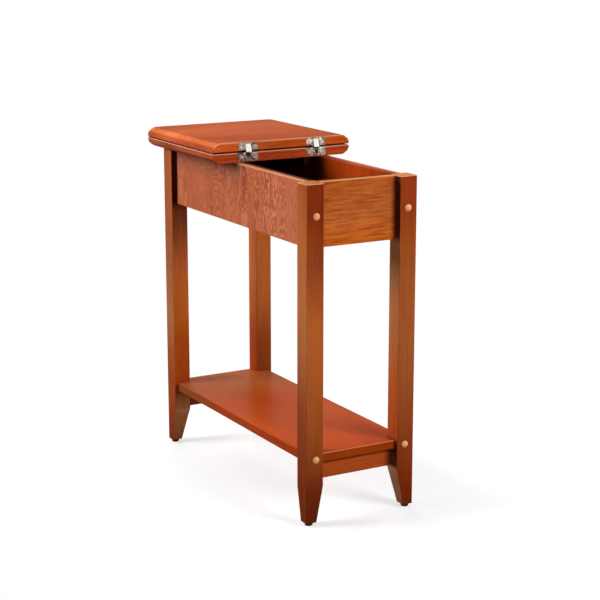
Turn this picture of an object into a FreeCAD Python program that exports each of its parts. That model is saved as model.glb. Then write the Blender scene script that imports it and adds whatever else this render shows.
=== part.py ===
# End table with a two-leaf flip top, a storage box under the top and an open shelf near the floor.
# Millimetres, +Z up, the front at -Y, the right side at +X seen from the front.
# It stands as it is used open: the front leaf is folded up and over onto the fixed rear leaf.

import FreeCAD, Part
import math
import os

os.makedirs("parts", exist_ok=True)

# Overall size with the top closed
table_width = 279.4
table_depth = 584.2
table_height = 609.6

# Top leaves, with a bevel under their three free edges
leaf_thickness = 17.0
leaf_closed_gap = 1.0
leaf_fold_gap = 1.8
leaf_side_overhang = 32.0
leaf_end_overhang = 15.0
leaf_bevel_width = 12.5
leaf_bevel_height = 8.0
leaf_bevel_round = 6.0
leaf_edge_round = 1.5
leaf_hinge_round = 2.2
leaf_corner_round = 9.0
leaf_seat_clearance = 0.3

# Legs, tapered on their two inner faces
leg_width = 33.0
leg_edge_round = 1.5
leg_top_round = 2.0
leg_foot_width = 19.5
leg_taper_top = 73.0

# Storage box between the legs
wall_height = 110.6
side_panel_thickness = 20.0
side_panel_recess = 12.0
apron_thickness = 18.0
apron_recess = 15.0
wall_edge_round = 1.5
floor_thickness = 6.0
floor_rise = 6.0
floor_groove_depth = 6.0
floor_clearance = 0.2

# Shelf, notched round the legs, and the stretchers under its ends
shelf_top = 126.0
shelf_thickness = 16.0
shelf_recess = 7.5
shelf_edge_round = 2.0
stretcher_height = 34.0
stretcher_thickness = 13.0
stretcher_recess = 20.0

# Screws through the legs, covered by wooden buttons
leg_screw_inset = 18.0
leg_screw_diameter = 5.0
leg_screw_length = 62.0
leg_screw_head_diameter = 10.0
leg_screw_head_height = 3.5
counterbore_diameter = 11.0
counterbore_depth = 12.0
button_diameter = 13.0
button_rim = 1.0
button_proud = 3.6
button_shank_length = 6.0

# Dowels
dowel_diameter = 8.0
dowel_length = 32.0
panel_dowel_height_shares = (0.28, 0.72)
apron_dowel_height_shares = (0.18, 0.82)
stretcher_dowel_diameter = 6.0
stretcher_dowel_length = 24.0
stretcher_dowel_height_shares = (0.27, 0.73)

# Cleats that hold the rear leaf down
cleat_width = 18.0
cleat_length = 200.0
cleat_edge_round = 1.5
cleat_screw_diameter = 4.0
cleat_screw_head_diameter = 8.0
cleat_screw_head_height = 2.6
cleat_screw_length = 29.0
cleat_screw_offset = 6.0
cleat_screw_place_shares = (0.2, 0.8)

# Foot glides
glide_diameter = 14.0
glide_height = 6.0
glide_edge_round = 1.5
glide_stem_diameter = 4.0
glide_stem_length = 14.0

# Link hinges in the meeting edges of the leaves
hinge_spread = 139.0
hinge_plate_width = 40.0
hinge_plate_height = 15.5
hinge_plate_thickness = 2.0
hinge_plate_corner = 3.5
hinge_slot_depth = 14.5
hinge_rear_slot_depth = 11.5
hinge_lug_thickness = 2.5
hinge_lug_reach = 7.4
hinge_lug_depth = 8.5
hinge_back_thickness = 1.0
hinge_pin_diameter = 2.6
hinge_pin_depth = 3.0
hinge_link_width = 10.5
hinge_link_side_clearance = 0.3
hinge_eye_radius = 2.3
hinge_bar_top = 10.4
hinge_bar_inset = 0.2
hinge_bar_thickness = 2.0
hinge_bar_lean = 4.0
hinge_bar_bottom = 3.6
hinge_bar_round = 0.8
hinge_pocket_reach = 16.5
hinge_pocket_depth = 14.5
hinge_pocket_cover = 1.8
hinge_screw_offset = 13.0
hinge_screw_drop = 8.0
hinge_screw_diameter = 3.6
hinge_screw_head_diameter = 7.2
hinge_screw_length = 18.0

# Clearances and cuts
fit_clearance = 0.05
overrun = 5.0
full_turn = 360.0

# Places worked out from the sizes above, with the hinge line at Y = 0
frame_top = table_height - leaf_thickness
leaf_depth = (table_depth - leaf_closed_gap) / 2
leaf_hinge_edge = leaf_closed_gap / 2
leaf_free_edge = leaf_hinge_edge + leaf_depth
fold_plane = table_height + leaf_fold_gap / 2
leg_outer_x = table_width / 2 - leaf_side_overhang
leg_inner_x = leg_outer_x - leg_width
leg_outer_y = table_depth / 2 - leaf_end_overhang
leg_inner_y = leg_outer_y - leg_width
leg_taper_depth = leg_width - leg_foot_width
wall_bottom = frame_top - wall_height
wall_middle = frame_top - wall_height / 2
panel_outer_x = leg_outer_x - side_panel_recess
panel_inner_x = panel_outer_x - side_panel_thickness
panel_middle_x = panel_outer_x - side_panel_thickness / 2
apron_outer_y = leg_outer_y - apron_recess
apron_inner_y = apron_outer_y - apron_thickness
apron_middle_y = apron_outer_y - apron_thickness / 2
groove_bottom = wall_bottom + floor_rise
groove_top = groove_bottom + floor_thickness + floor_clearance
shelf_bottom = shelf_top - shelf_thickness
shelf_middle = shelf_top - shelf_thickness / 2
shelf_outer_x = leg_outer_x - shelf_recess
shelf_outer_y = leg_outer_y - shelf_recess
stretcher_bottom = shelf_bottom - stretcher_height
stretcher_outer_y = leg_outer_y - stretcher_recess
stretcher_inner_y = stretcher_outer_y - stretcher_thickness
stretcher_middle_y = stretcher_outer_y - stretcher_thickness / 2
leg_screw_x = leg_outer_x - leg_screw_inset
leg_screw_head_y = leg_outer_y - counterbore_depth + leg_screw_head_height
leg_screw_hole_depth = leg_screw_length + overrun
foot_x = leg_outer_x - leg_foot_width / 2
foot_y = leg_outer_y - leg_foot_width / 2
cleat_inner_x = panel_inner_x - cleat_width
cleat_bottom = frame_top - cleat_width
cleat_start = (leg_inner_y - cleat_length) / 2
cleat_middle_x = panel_inner_x - cleat_width / 2
cleat_middle_z = frame_top - cleat_width / 2

# Hinge pins: the flip leaf's pin lies a little deeper, so the closed leaf clears the frame
flip_pin_depth = hinge_pin_depth + leaf_seat_clearance
hinge_link_length = leaf_fold_gap + hinge_pin_depth + flip_pin_depth
hinge_pin_y = leaf_hinge_edge + (hinge_link_length - leaf_closed_gap) / 2
hinge_x = hinge_spread / 2
fixed_pin_z = table_height - hinge_pin_depth
flip_pin_z = fixed_pin_z + hinge_link_length
hinge_slot_width = hinge_link_width + 2 * hinge_link_side_clearance
hinge_lug_span = hinge_slot_width + 2 * hinge_lug_thickness

# The origin is under the middle of the open table
front_reach = leg_outer_y + button_proud
origin_y = (leaf_free_edge - front_reach) / 2

axis_x = FreeCAD.Vector(1, 0, 0)
axis_y = FreeCAD.Vector(0, 1, 0)
axis_z = FreeCAD.Vector(0, 0, 1)
centre = FreeCAD.Vector(0, 0, 0)


def block(x_range, y_range, z_range):
    """Box between two corners."""
    corner = FreeCAD.Vector(x_range[0], y_range[0], z_range[0])
    sizes = [span[1] - span[0] for span in (x_range, y_range, z_range)]
    return Part.makeBox(*sizes, corner)


def rod(diameter, start, direction, length):
    """Cylinder from a start point."""
    return Part.makeCylinder(diameter / 2, length, FreeCAD.Vector(*start), direction)


def rounded_prism(corners, to_space, sweep):
    """Prism on a closed outline of (u, v, radius) corners, each rounded by a tangent arc."""
    flat = [FreeCAD.Vector(u, v, 0) for u, v, radius in corners]
    starts, middles, ends = [], [], []
    for index, (u, v, radius) in enumerate(corners):
        here = flat[index]
        back = (flat[index - 1] - here).normalize()
        ahead = (flat[(index + 1) % len(flat)] - here).normalize()
        half_angle = back.getAngle(ahead) / 2
        bisector = (back + ahead).normalize()
        starts.append(here + back * (radius / math.tan(half_angle)))
        ends.append(here + ahead * (radius / math.tan(half_angle)))
        middles.append(here + bisector * (radius / math.sin(half_angle) - radius))
    edges = []
    for index, (u, v, radius) in enumerate(corners):
        line = [to_space(point.x, point.y) for point in (ends[index - 1], starts[index])]
        edges.append(Part.makeLine(*line))
        if radius > 0:
            arc = [to_space(point.x, point.y) for point in (starts[index], middles[index], ends[index])]
            edges.append(Part.Arc(*arc).toShape())
    return Part.Face(Part.Wire(edges)).extrude(sweep)


def prism_along_x(corners, x_range):
    """Prism along X on (y, z, radius) corners."""
    start, end = x_range
    return rounded_prism(corners, lambda u, v: FreeCAD.Vector(start, u, v), axis_x * (end - start))


def prism_along_y(corners, y_range):
    """Prism along Y on (x, z, radius) corners."""
    start, end = y_range
    return rounded_prism(corners, lambda u, v: FreeCAD.Vector(u, start, v), axis_y * (end - start))


def prism_along_z(corners, z_range):
    """Prism along Z on (x, y, radius) corners."""
    start, end = z_range
    return rounded_prism(corners, lambda u, v: FreeCAD.Vector(u, v, start), axis_z * (end - start))


def rectangle(u_range, v_range, radius):
    """Corners of a rectangle, all rounded alike."""
    u_low, u_high = u_range
    v_low, v_high = v_range
    places = (u_low, v_low), (u_high, v_low), (u_high, v_high), (u_low, v_high)
    return [(u, v, radius) for u, v in places]


def turned(profile, start, direction):
    """Turned solid on a closed profile of (radius, distance) points along an axis."""
    points = [FreeCAD.Vector(radius, 0, along) for radius, along in profile]
    face = Part.Face(Part.makePolygon(points + points[:1]))
    solid = face.revolve(centre, axis_z, full_turn)
    solid.Placement = FreeCAD.Placement(FreeCAD.Vector(*start), FreeCAD.Rotation(axis_z, direction))
    return solid


def mirror_x(shape):
    return shape.mirror(centre, axis_x)


def mirror_y(shape):
    return shape.mirror(centre, axis_y)


def fold_over(shape):
    """Copy of a rear-leaf piece as it lies on the leaf folded over it."""
    return shape.mirror(FreeCAD.Vector(0, 0, fold_plane), axis_z)


def four_corners(solids):
    """Copies of the back right corner's solids in all four corners."""
    right = solids + [mirror_y(solid) for solid in solids]
    return right + [mirror_x(solid) for solid in right]


def save(name, *solids):
    """Write one node, moved to the table's own origin."""
    shape = solids[0] if len(solids) == 1 else Part.makeCompound(list(solids))
    placed = shape.copy()
    placed.translate(FreeCAD.Vector(0, -origin_y, 0))
    placed.exportStep("parts/" + name + ".step")


def heights(shares, bottom, height):
    return [bottom + share * height for share in shares]


# Dowels of the back right corner: their centres, axes and sizes also make their holes
def panel_dowel_places():
    levels = heights(panel_dowel_height_shares, wall_bottom, wall_height)
    return [(panel_middle_x, leg_inner_y, z) for z in levels]


def apron_dowel_places():
    levels = heights(apron_dowel_height_shares, wall_bottom, wall_height)
    return [(leg_inner_x, apron_middle_y, z) for z in levels]


def stretcher_dowel_places():
    levels = heights(stretcher_dowel_height_shares, stretcher_bottom, stretcher_height)
    return [(leg_inner_x, stretcher_middle_y, z) for z in levels]


def dowel(place, direction, diameter, length):
    """Dowel, half in each piece."""
    return rod(diameter, FreeCAD.Vector(*place) - direction * (length / 2), direction, length)


def dowel_hole(place, direction, diameter, length):
    start = FreeCAD.Vector(*place) - direction * (length / 2 + fit_clearance)
    return rod(diameter + 2 * fit_clearance, start, direction, length + 2 * fit_clearance)


def dowel_cuts(places, direction, diameter, length):
    return [dowel_hole(place, direction, diameter, length) for place in places]


panel_cuts = dowel_cuts(panel_dowel_places(), axis_y, dowel_diameter, dowel_length)
apron_cuts = dowel_cuts(apron_dowel_places(), axis_x, dowel_diameter, dowel_length)
stretcher_cuts = dowel_cuts(stretcher_dowel_places(), axis_x, stretcher_dowel_diameter,
                            stretcher_dowel_length)


# Screws through the back right leg, towards the front
def leg_screw(z):
    """Connecting screw with a flat head."""
    head = leg_screw_head_diameter / 2
    shank = leg_screw_diameter / 2
    profile = [(0, 0), (head, 0), (head, leg_screw_head_height), (shank, leg_screw_head_height),
               (shank, leg_screw_length), (0, leg_screw_length)]
    return turned(profile, (leg_screw_x, leg_screw_head_y, z), -axis_y)


def leg_screw_cuts(z):
    """Counterbore and hole of one connecting screw."""
    bore = rod(counterbore_diameter, (leg_screw_x, leg_outer_y - counterbore_depth, z), axis_y,
               counterbore_depth + overrun)
    hole = rod(leg_screw_diameter + 2 * fit_clearance, (leg_screw_x, leg_screw_head_y, z), -axis_y,
               leg_screw_hole_depth)
    return [bore, hole]


def button(z):
    """Domed button with a shank that fills the mouth of the counterbore."""
    rim = button_diameter / 2
    shank = counterbore_diameter / 2 - fit_clearance
    rise = button_proud - button_rim
    sphere = (rim * rim + rise * rise) / (2 * rise)
    half_angle = math.asin(rim / sphere) / 2
    rim_top = button_shank_length + button_rim
    crown = button_shank_length + button_proud
    corners = [(0, 0), (shank, 0), (shank, button_shank_length), (rim, button_shank_length), (rim, rim_top)]
    points = [FreeCAD.Vector(radius, 0, along) for radius, along in corners]
    dome_drop = sphere * (1 - math.cos(half_angle))
    dome_middle = FreeCAD.Vector(sphere * math.sin(half_angle), 0, crown - dome_drop)
    top = FreeCAD.Vector(0, 0, crown)
    edges = [Part.makeLine(a, b) for a, b in zip(points, points[1:])]
    edges.append(Part.Arc(points[-1], dome_middle, top).toShape())
    edges.append(Part.makeLine(top, points[0]))
    solid = Part.Face(Part.Wire(edges)).revolve(centre, axis_z, full_turn)
    start = FreeCAD.Vector(leg_screw_x, leg_outer_y - button_shank_length, z)
    solid.Placement = FreeCAD.Placement(start, FreeCAD.Rotation(axis_z, axis_y))
    return solid


leg_screw_levels = (wall_middle, shelf_middle)


def glide():
    """Foot glide with a stem up into the leg."""
    disc = glide_diameter / 2
    stem = glide_stem_diameter / 2
    top = glide_height + glide_stem_length
    profile = [(0, 0), (disc - glide_edge_round, 0), (disc, glide_edge_round), (disc, glide_height),
               (stem, glide_height), (stem, top), (0, top)]
    return turned(profile, (foot_x, foot_y, 0), axis_z)


def leg_side(inner, outer):
    """Corners of a leg seen square on, eased round its top."""
    return [(inner, glide_height, 0), (outer, glide_height, 0), (outer, frame_top, leg_top_round),
            (inner, frame_top, leg_top_round)]


def leg():
    """Back right leg: a square post with eased edges and a tapered foot."""
    post = prism_along_z(rectangle((leg_inner_x, leg_outer_x), (leg_inner_y, leg_outer_y), leg_edge_round),
                         (glide_height, frame_top))
    post = post.common(prism_along_y(leg_side(leg_inner_x, leg_outer_x), (leg_inner_y, leg_outer_y)))
    post = post.common(prism_along_x(leg_side(leg_inner_y, leg_outer_y), (leg_inner_x, leg_outer_x)))
    slope = leg_taper_depth / (leg_taper_top - glide_height)
    rise = slope * overrun
    wedge_x = [(leg_inner_x - rise, leg_taper_top + overrun, 0),
               (leg_inner_x - rise, glide_height - overrun, 0),
               (leg_inner_x + leg_taper_depth + rise, glide_height - overrun, 0)]
    wedge_y = [(leg_inner_y + u - leg_inner_x, v, radius) for u, v, radius in wedge_x]
    cuts = [prism_along_y(wedge_x, (leg_inner_y - overrun, leg_outer_y + overrun)),
            prism_along_x(wedge_y, (leg_inner_x - overrun, leg_outer_x + overrun))]
    for z in leg_screw_levels:
        cuts += leg_screw_cuts(z)
    cuts += panel_cuts + apron_cuts + stretcher_cuts
    cuts.append(rod(glide_stem_diameter + 2 * fit_clearance, (foot_x, foot_y, 0), axis_z,
                    glide_height + glide_stem_length + fit_clearance))
    return post.cut(cuts)


def side_panel():
    """Right side panel of the storage box, grooved inside for the floor."""
    section = rectangle((panel_inner_x, panel_outer_x), (wall_bottom, frame_top), wall_edge_round)
    panel = prism_along_y(section, (-leg_inner_y, leg_inner_y))
    groove = block((panel_inner_x - overrun, panel_inner_x + floor_groove_depth),
                   (-leg_inner_y - overrun, leg_inner_y + overrun), (groove_bottom, groove_top))
    ends = panel_cuts + [leg_screw_cuts(wall_middle)[1]]
    ends += [mirror_y(cut) for cut in ends]
    return panel.cut([groove] + ends + cleat_side_holes())


def apron():
    """Back apron of the storage box, grooved inside for the floor."""
    section = rectangle((apron_inner_y, apron_outer_y), (wall_bottom, frame_top), wall_edge_round)
    board = prism_along_x(section, (-leg_inner_x, leg_inner_x))
    groove = block((-leg_inner_x - overrun, leg_inner_x + overrun),
                   (apron_inner_y - overrun, apron_inner_y + floor_groove_depth),
                   (groove_bottom, groove_top))
    return board.cut([groove] + apron_cuts + [mirror_x(cut) for cut in apron_cuts])


def compartment_floor():
    """Thin floor in the grooves, notched at its corners round the legs."""
    reach_x = panel_inner_x + floor_groove_depth - floor_clearance
    reach_y = apron_inner_y + floor_groove_depth - floor_clearance
    board = block((-reach_x, reach_x), (-reach_y, reach_y),
                  (groove_bottom, groove_bottom + floor_thickness))
    notch = block((leg_inner_x - floor_clearance, reach_x + overrun),
                  (leg_inner_y - floor_clearance, reach_y + overrun),
                  (groove_bottom - overrun, groove_top + overrun))
    return board.cut(four_corners([notch]))


def shelf():
    """Shelf with eased edges, notched round the four legs."""
    layer = (shelf_bottom, shelf_top)
    across = prism_along_y(rectangle((-shelf_outer_x, shelf_outer_x), layer, shelf_edge_round),
                           (-shelf_outer_y - overrun, shelf_outer_y + overrun))
    along = prism_along_x(rectangle((-shelf_outer_y, shelf_outer_y), layer, shelf_edge_round),
                          (-shelf_outer_x - overrun, shelf_outer_x + overrun))
    notch = block((leg_inner_x, shelf_outer_x + overrun), (leg_inner_y, shelf_outer_y + overrun),
                  (shelf_bottom - overrun, shelf_top + overrun))
    return across.common(along).cut(four_corners([notch, leg_screw_cuts(shelf_middle)[1]]))


def stretcher():
    """Back stretcher under the shelf, between the legs."""
    section = rectangle((stretcher_inner_y, stretcher_outer_y), (stretcher_bottom, shelf_bottom),
                        wall_edge_round)
    rail = prism_along_x(section, (-leg_inner_x, leg_inner_x))
    return rail.cut(stretcher_cuts + [mirror_x(cut) for cut in stretcher_cuts])


# Cleats: one pair of screws goes out into the side panel, the other up into the leaf
def cleat_screw(start, direction):
    """Countersunk wood screw."""
    head = cleat_screw_head_diameter / 2
    shank = cleat_screw_diameter / 2
    profile = [(0, 0), (head, 0), (shank, cleat_screw_head_height), (shank, cleat_screw_length),
               (0, cleat_screw_length)]
    return turned(profile, start, direction)


def cleat_screw_hole(start, direction):
    """Hole of one cleat screw, countersunk for its head."""
    head = cleat_screw_head_diameter / 2 + fit_clearance
    shank = cleat_screw_diameter / 2 + fit_clearance
    end = cleat_screw_length + fit_clearance
    profile = [(0, 0), (head, 0), (shank, cleat_screw_head_height), (shank, end), (0, end)]
    return turned(profile, start, direction)


def cleat_side_places():
    return [(cleat_inner_x, cleat_start + share * cleat_length - cleat_screw_offset, cleat_middle_z)
            for share in cleat_screw_place_shares]


def cleat_leaf_places():
    return [(cleat_middle_x, cleat_start + share * cleat_length + cleat_screw_offset, cleat_bottom)
            for share in cleat_screw_place_shares]


def cleat_side_holes():
    return [cleat_screw_hole(place, axis_x) for place in cleat_side_places()]


def cleat_leaf_holes():
    return [cleat_screw_hole(place, axis_z) for place in cleat_leaf_places()]


def cleat():
    """Right cleat, screwed to the side panel under the rear leaf."""
    section = [(cleat_inner_x, cleat_bottom, cleat_edge_round), (panel_inner_x, cleat_bottom, 0),
               (panel_inner_x, frame_top, 0), (cleat_inner_x, frame_top, cleat_edge_round)]
    strip = prism_along_y(section, (cleat_start, cleat_start + cleat_length))
    return strip.cut(cleat_side_holes() + cleat_leaf_holes())


# Leaves: the rear leaf is drawn, and the front leaf is its image folded over it
def leaf_outline():
    """Rear leaf without its hinge mortises: a soft bevel below and an eased edge above on its free edges."""
    side = table_width / 2
    bevel_top = frame_top + leaf_bevel_height
    bevel_x = side - leaf_bevel_width
    bevel_y = leaf_free_edge - leaf_bevel_width
    front = leaf_hinge_edge - overrun
    across = [(-bevel_x, frame_top, leaf_bevel_round), (bevel_x, frame_top, leaf_bevel_round),
              (side, bevel_top, leaf_bevel_round), (side, table_height, leaf_edge_round),
              (-side, table_height, leaf_edge_round), (-side, bevel_top, leaf_bevel_round)]
    along = [(leaf_hinge_edge, frame_top, 0), (bevel_y, frame_top, leaf_bevel_round),
             (leaf_free_edge, bevel_top, leaf_bevel_round), (leaf_free_edge, table_height, leaf_edge_round),
             (leaf_hinge_edge, table_height, leaf_hinge_round)]
    plan = [(-side, front, 0), (side, front, 0), (side, leaf_free_edge, leaf_corner_round),
            (-side, leaf_free_edge, leaf_corner_round)]
    board = prism_along_y(across, (front, leaf_free_edge + overrun))
    board = board.common(prism_along_x(along, (-side - overrun, side + overrun)))
    return board.common(prism_along_z(plan, (frame_top - overrun, table_height + overrun)))


def around(middle, width):
    return (middle - width / 2, middle + width / 2)


def hinge_screw_places():
    z = table_height - hinge_screw_drop
    return [(hinge_x + side * hinge_screw_offset, leaf_hinge_edge, z) for side in (-1, 1)]


def hinge_screws():
    """Countersunk screws of the right hinge's rear plate, flush with the plate."""
    head = hinge_screw_head_diameter / 2
    shank = hinge_screw_diameter / 2
    profile = [(0, 0), (head, 0), (shank, hinge_plate_thickness), (shank, hinge_screw_length),
               (0, hinge_screw_length)]
    return [turned(profile, place, axis_y) for place in hinge_screw_places()]


def hinge_screw_holes():
    head = hinge_screw_head_diameter / 2 + fit_clearance
    shank = hinge_screw_diameter / 2 + fit_clearance
    end = hinge_screw_length + fit_clearance
    profile = [(0, 0), (head, 0), (shank, hinge_plate_thickness), (shank, end), (0, end)]
    return [turned(profile, place, axis_y) for place in hinge_screw_places()]


def hinge_plate_corners(margin, top):
    """Outline of the right hinge's rear plate or, with a margin, of its recess."""
    left, right = around(hinge_x, hinge_plate_width + 2 * margin)
    bottom = table_height - hinge_plate_height - margin
    return [(left, bottom, hinge_plate_corner + margin), (right, bottom, hinge_plate_corner + margin),
            (right, top, 0), (left, top, 0)]


def hinge_mortise():
    """Cuts for the right hinge in the rear leaf: plate recess, lug mortise, link pocket and screw holes."""
    above = table_height + overrun
    front = leaf_hinge_edge - overrun
    recess = prism_along_y(hinge_plate_corners(fit_clearance, above),
                           (front, leaf_hinge_edge + hinge_plate_thickness))
    lugs = block(around(hinge_x, hinge_lug_span + 2 * fit_clearance),
                 (front, leaf_hinge_edge + hinge_lug_reach + fit_clearance),
                 (table_height - hinge_slot_depth, above))
    pocket = block(around(hinge_x, hinge_slot_width), (front, leaf_hinge_edge + hinge_pocket_reach),
                   (table_height - hinge_pocket_depth, table_height - hinge_pocket_cover))
    return [recess, lugs, pocket] + hinge_screw_holes()


def hinge_plate(pin_depth, slot_depth, slot_reach):
    """Right hinge plate of the rear leaf: a slotted face plate with two lugs that carry a pin."""
    face = prism_along_y(hinge_plate_corners(0, table_height),
                         (leaf_hinge_edge, leaf_hinge_edge + hinge_plate_thickness))
    lugs = block(around(hinge_x, hinge_lug_span), (leaf_hinge_edge, leaf_hinge_edge + hinge_lug_reach),
                 (table_height - pin_depth - hinge_lug_depth, table_height - fit_clearance))
    slot = block(around(hinge_x, hinge_slot_width),
                 (leaf_hinge_edge - overrun, leaf_hinge_edge + slot_reach),
                 (table_height - slot_depth, table_height + overrun))
    pin_hole = rod(hinge_pin_diameter + 2 * fit_clearance,
                   (hinge_x - hinge_lug_span, hinge_pin_y, table_height - pin_depth), axis_x,
                   2 * hinge_lug_span)
    cuts = [slot, pin_hole] + hinge_screw_holes()
    return face.fuse(lugs).cut(cuts).common(leaf_outline()).removeSplitter()


def hinge_pin(z):
    return rod(hinge_pin_diameter, (hinge_x - hinge_lug_span / 2, hinge_pin_y, z), axis_x, hinge_lug_span)


def hinge_link():
    """Right hinge link: two eyes joined by a web whose bright front bar leans out at the fold."""
    x_range = around(hinge_x, hinge_link_width)
    bar_y = leaf_hinge_edge + hinge_bar_inset
    top = flip_pin_z + hinge_bar_top
    bottom = fixed_pin_z + hinge_bar_bottom
    back = hinge_pin_y + hinge_eye_radius
    web = prism_along_x([(back, fixed_pin_z, 0), (back, flip_pin_z, hinge_eye_radius),
                         (bar_y + hinge_bar_thickness, top, hinge_bar_round), (bar_y, top, hinge_bar_round),
                         (leaf_hinge_edge - hinge_bar_lean, bottom, hinge_bar_round),
                         (hinge_pin_y - hinge_eye_radius, fixed_pin_z, 0)], x_range)
    eye = rod(2 * hinge_eye_radius, (x_range[0], hinge_pin_y, fixed_pin_z), axis_x, hinge_link_width)
    holes = [rod(hinge_pin_diameter + 2 * fit_clearance, (x_range[0] - overrun, hinge_pin_y, z), axis_x,
                 hinge_link_width + 2 * overrun) for z in (fixed_pin_z, flip_pin_z)]
    return web.fuse(eye).cut(holes).removeSplitter()


# Legs and glides, one node each
corner_names = ("back_right", "front_right", "back_left", "front_left")
corner_solids = zip(four_corners([leg()]), four_corners([glide()]))
for corner_name, (leg_solid, glide_solid) in zip(corner_names, corner_solids):
    save(corner_name + "_leg", leg_solid)
    save(corner_name + "_glide", glide_solid)

# Boards between the legs
save("back_apron", apron())
save("front_apron", mirror_y(apron()))
save("right_side_panel", side_panel())
save("left_side_panel", mirror_x(side_panel()))
save("compartment_floor", compartment_floor())
save("back_stretcher", stretcher())
save("front_stretcher", mirror_y(stretcher()))
save("shelf", shelf())

# Dowels, leg screws and their buttons
panel_dowels = [dowel(place, axis_y, dowel_diameter, dowel_length) for place in panel_dowel_places()]
apron_dowels = [dowel(place, axis_x, dowel_diameter, dowel_length) for place in apron_dowel_places()]
stretcher_dowels = [dowel(place, axis_x, stretcher_dowel_diameter, stretcher_dowel_length)
                    for place in stretcher_dowel_places()]
save("side_panel_dowels", *four_corners(panel_dowels))
save("apron_dowels", *four_corners(apron_dowels))
save("stretcher_dowels", *four_corners(stretcher_dowels))
save("side_panel_screws", *four_corners([leg_screw(wall_middle)]))
save("shelf_screws", *four_corners([leg_screw(shelf_middle)]))
back_buttons = [button(z) for z in leg_screw_levels]
back_buttons += [mirror_x(solid) for solid in back_buttons]
save("back_leg_buttons", *back_buttons)
save("front_leg_buttons", *[mirror_y(solid) for solid in back_buttons])

# Cleats and their screws
save("right_cleat", cleat())
save("left_cleat", mirror_x(cleat()))
side_screws = [cleat_screw(place, axis_x) for place in cleat_side_places()]
leaf_screws = [cleat_screw(place, axis_z) for place in cleat_leaf_places()]
save("cleat_panel_screws", *side_screws, *[mirror_x(solid) for solid in side_screws])
save("cleat_leaf_screws", *leaf_screws, *[mirror_x(solid) for solid in leaf_screws])

# Leaves
mortises = hinge_mortise()
mortises += [mirror_x(cut) for cut in mortises]
plain_leaf = leaf_outline().cut(mortises)
leaf_holes = cleat_leaf_holes()
save("fixed_leaf", plain_leaf.cut(leaf_holes + [mirror_x(hole) for hole in leaf_holes]))
save("flip_leaf", fold_over(plain_leaf))

# Hinges: plates, pins and links on both sides, and their screws. The link turns in the front plate and the
# pocket behind it, but only its eye turns in the rear plate, so that one is closed at the back.
rear_plate = hinge_plate(hinge_pin_depth, hinge_rear_slot_depth, hinge_lug_reach - hinge_back_thickness)
front_plate = hinge_plate(flip_pin_depth, hinge_slot_depth, hinge_lug_reach + overrun)
hinge_nodes = {
    "hinge_fixed_plate": rear_plate,
    "hinge_flip_plate": fold_over(front_plate),
    "hinge_fixed_pin": hinge_pin(fixed_pin_z),
    "hinge_flip_pin": hinge_pin(flip_pin_z),
    "hinge_link": hinge_link(),
}
for hinge_node, hinge_solid in hinge_nodes.items():
    save("right_" + hinge_node, hinge_solid)
    save("left_" + hinge_node, mirror_x(hinge_solid))
plate_screws = hinge_screws()
plate_screws += [mirror_x(solid) for solid in plate_screws]
save("hinge_fixed_screws", *plate_screws)
save("hinge_flip_screws", *[fold_over(solid) for solid in plate_screws])
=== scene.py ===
# Looks of an end table with a flip top: finishes of wood, metal and plastic, softened leaves, detailed
# screws, floor, light and camera. Metres, +Z up, the front at -Y.
# The table stands as it is used open, its front leaf folded onto the rear one.

import math

import bmesh
import bpy
from mathutils import Matrix, Vector


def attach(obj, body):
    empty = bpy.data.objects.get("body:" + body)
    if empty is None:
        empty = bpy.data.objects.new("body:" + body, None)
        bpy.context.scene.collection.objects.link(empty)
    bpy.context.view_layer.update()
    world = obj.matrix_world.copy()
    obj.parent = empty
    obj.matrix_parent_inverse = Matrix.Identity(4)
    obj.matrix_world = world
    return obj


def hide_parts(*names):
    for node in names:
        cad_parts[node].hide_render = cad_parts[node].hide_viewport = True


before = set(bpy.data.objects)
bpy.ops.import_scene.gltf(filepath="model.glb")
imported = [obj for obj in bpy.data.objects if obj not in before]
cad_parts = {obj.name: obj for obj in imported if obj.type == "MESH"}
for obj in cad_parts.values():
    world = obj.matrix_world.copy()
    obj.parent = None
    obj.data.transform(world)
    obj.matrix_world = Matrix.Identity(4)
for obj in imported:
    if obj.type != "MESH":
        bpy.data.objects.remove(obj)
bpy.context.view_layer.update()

# Camera at the photograph's viewing angle
camera_place = (-1.412394, -2.568222, 1.011573)
camera_pitch = math.radians(90 - 13.088)
camera_turn = math.radians(-29.48)
camera_lens = 97.99
camera_sensor = 36.0

# Lamps: direction towards the lamp, its distance, its size, the share of full light that it gives, and
# whether glossy surfaces mirror it
lamp_aim = Vector((0.0, 0.0, 0.42))
lamps = {
    "left_lamp": {"towards": (-0.86, 0.30, 0.40), "distance": 2.8, "size": 1.2, "level": 0.98},
    "top_lamp": {"towards": (-0.25, 0.30, 0.92), "distance": 2.8, "size": 1.6, "level": 0.25, "glint": False},
    "front_lamp": {"towards": (0.40, -0.86, 0.32), "distance": 3.2, "size": 1.5, "level": 0.83,
                   "glint": False},
    "spark_lamp": {"towards": (0.50, -0.86, 0.12), "distance": 3.0, "size": 0.3, "level": 0.03},
    "glint_lamp": {"towards": (0.83, -0.38, 0.40), "distance": 3.0, "size": 0.3, "level": 0.03},
    "back_lamp": {"towards": (0.20, 0.92, 0.34), "distance": 3.2, "size": 1.8, "level": 0.45, "glint": False},
    "right_lamp": {"towards": (0.95, 0.15, 0.25), "distance": 3.2, "size": 1.8, "level": 0.40,
                   "glint": False},
}
world_level = 0.06

# Floor: what the camera sees is nearly white and wholly so further out, and its bounce is kept low
floor_reach = 7.0
floor_segments = 8
floor_seen_tone = 0.50
floor_seen_glow = 0.55
floor_bounce_tone = 0.40
floor_shadow_reach = 0.34
floor_white_reach = 0.72
white = (1.0, 1.0, 1.0, 1.0)

# Axes by name, for the direction of the grain
axes = {"x": Vector((1, 0, 0)), "y": Vector((0, 1, 0)), "z": Vector((0, 0, 1))}

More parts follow.
